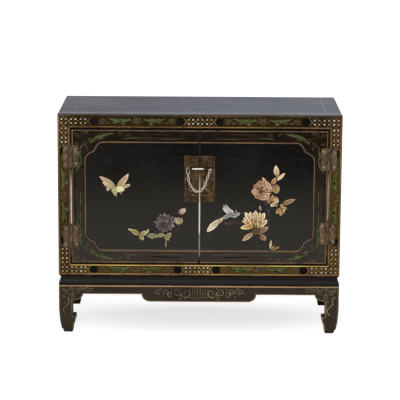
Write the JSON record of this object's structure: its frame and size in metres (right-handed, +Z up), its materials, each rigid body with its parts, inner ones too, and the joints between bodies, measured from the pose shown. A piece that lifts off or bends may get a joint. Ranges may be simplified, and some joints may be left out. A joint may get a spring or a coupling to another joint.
{
  "type": "cabinet on stand",
  "caption": "Low black lacquer cabinet with hinged front doors, bronze lock with chained pin, carved stone inlays and a hoof-footed stand.",
  "frame": {"origin": "on the floor, under the middle of the whole object", "axes": "+Z up, +X to the right along the width, the doors face -Y"},
  "size_m": [0.81, 0.384, 0.642],
  "materials": {
    "black_lacquer": "polished black lacquer",
    "border_lacquer": "lacquer with painted and gilt borders",
    "bare_wood": "pale bare wood",
    "inside_wood": "stained wood",
    "bronze": "aged engraved bronze",
    "dark_bronze": "dark patinated bronze",
    "silvery_metal": "worn white metal",
    "stone_bird_left": "polished carved stone",
    "stone_purple": "polished carved stone",
    "stone_green": "polished carved stone",
    "stone_grey": "polished carved stone",
    "stone_cream": "polished carved stone",
    "stone_pink": "polished carved stone",
    "stone_tan": "polished carved stone"
  },
  "bodies": {
    "cabinet": {"case_side_left": "black_lacquer", "case_side_right": "black_lacquer", "case_top": "black_lacquer", "case_bottom": "inside_wood", "case_back": "black_lacquer", "front_stile_left": "border_lacquer", "front_stile_right": "border_lacquer", "front_top_rail": "border_lacquer", "front_bottom_rail": "border_lacquer", "shelf": "inside_wood", "shelf_cleat_left": "inside_wood", "shelf_cleat_right": "inside_wood", "middle_post": "bare_wood", "door_stop_left": "bare_wood", "door_stop_right": "bare_wood", "case_base_moulding": "black_lacquer", "stand_top": "black_lacquer", "leg_front_left": "black_lacquer", "leg_back_left": "black_lacquer", "leg_front_right": "black_lacquer", "leg_back_right": "black_lacquer", "apron_front": "black_lacquer", "apron_back": "black_lacquer", "apron_left": "black_lacquer", "apron_right": "black_lacquer", "hinge_top_left_fixed_leaf": "bronze", "hinge_top_left_pin": "dark_bronze", "hinge_bottom_left_fixed_leaf": "bronze", "hinge_bottom_left_pin": "dark_bronze", "hinge_top_right_fixed_leaf": "bronze", "hinge_top_right_pin": "dark_bronze", "hinge_bottom_right_fixed_leaf": "bronze", "hinge_bottom_right_pin": "dark_bronze"},
    "door_left": {"door_left": "black_lacquer", "hinge_top_left_door_leaf": "bronze", "hinge_bottom_left_door_leaf": "bronze", "lock_plate_left": "bronze", "lock_eye_left": "dark_bronze", "inlay_bird_left": "stone_bird_left", "inlay_flower_purple": "stone_purple", "inlay_leaves_left": "stone_green", "inlay_bud_low": "stone_green", "inlay_bud_high": "stone_green"},
    "door_right": {"door_right": "black_lacquer", "hinge_top_right_door_leaf": "bronze", "hinge_bottom_right_door_leaf": "bronze", "lock_plate_right": "bronze", "lock_eye_right": "dark_bronze", "lock_chain": "silvery_metal", "chain_staple": "silvery_metal", "inlay_bird_right": "stone_grey", "inlay_leaf_long": "stone_cream", "inlay_flower_cream": "stone_cream", "inlay_leaves_low": "stone_pink", "inlay_flower_pink": "stone_pink", "inlay_leaves_tall": "stone_tan", "inlay_leaves_brown": "stone_tan", "inlay_grass": "stone_green"},
    "lock_pin": {"lock_pin": "silvery_metal"}
  },
  "joints": [
    {"name": "door_left_swing", "type": "hinge", "parent": "cabinet", "child": "door_left", "pos_m": [-0.368, -0.1828, 0.4045], "axis": [0, 0, -1], "range_deg": [0, 165]},
    {"name": "door_right_swing", "type": "hinge", "parent": "cabinet", "child": "door_right", "pos_m": [0.368, -0.1828, 0.4045], "axis": [0, 0, 1], "range_deg": [0, 165]},
    {"name": "lock_pin_slide", "type": "slide", "parent": "door_right", "child": "lock_pin", "axis": [-1, 0, 0], "range_m": [0, 0.06]}
  ]
}
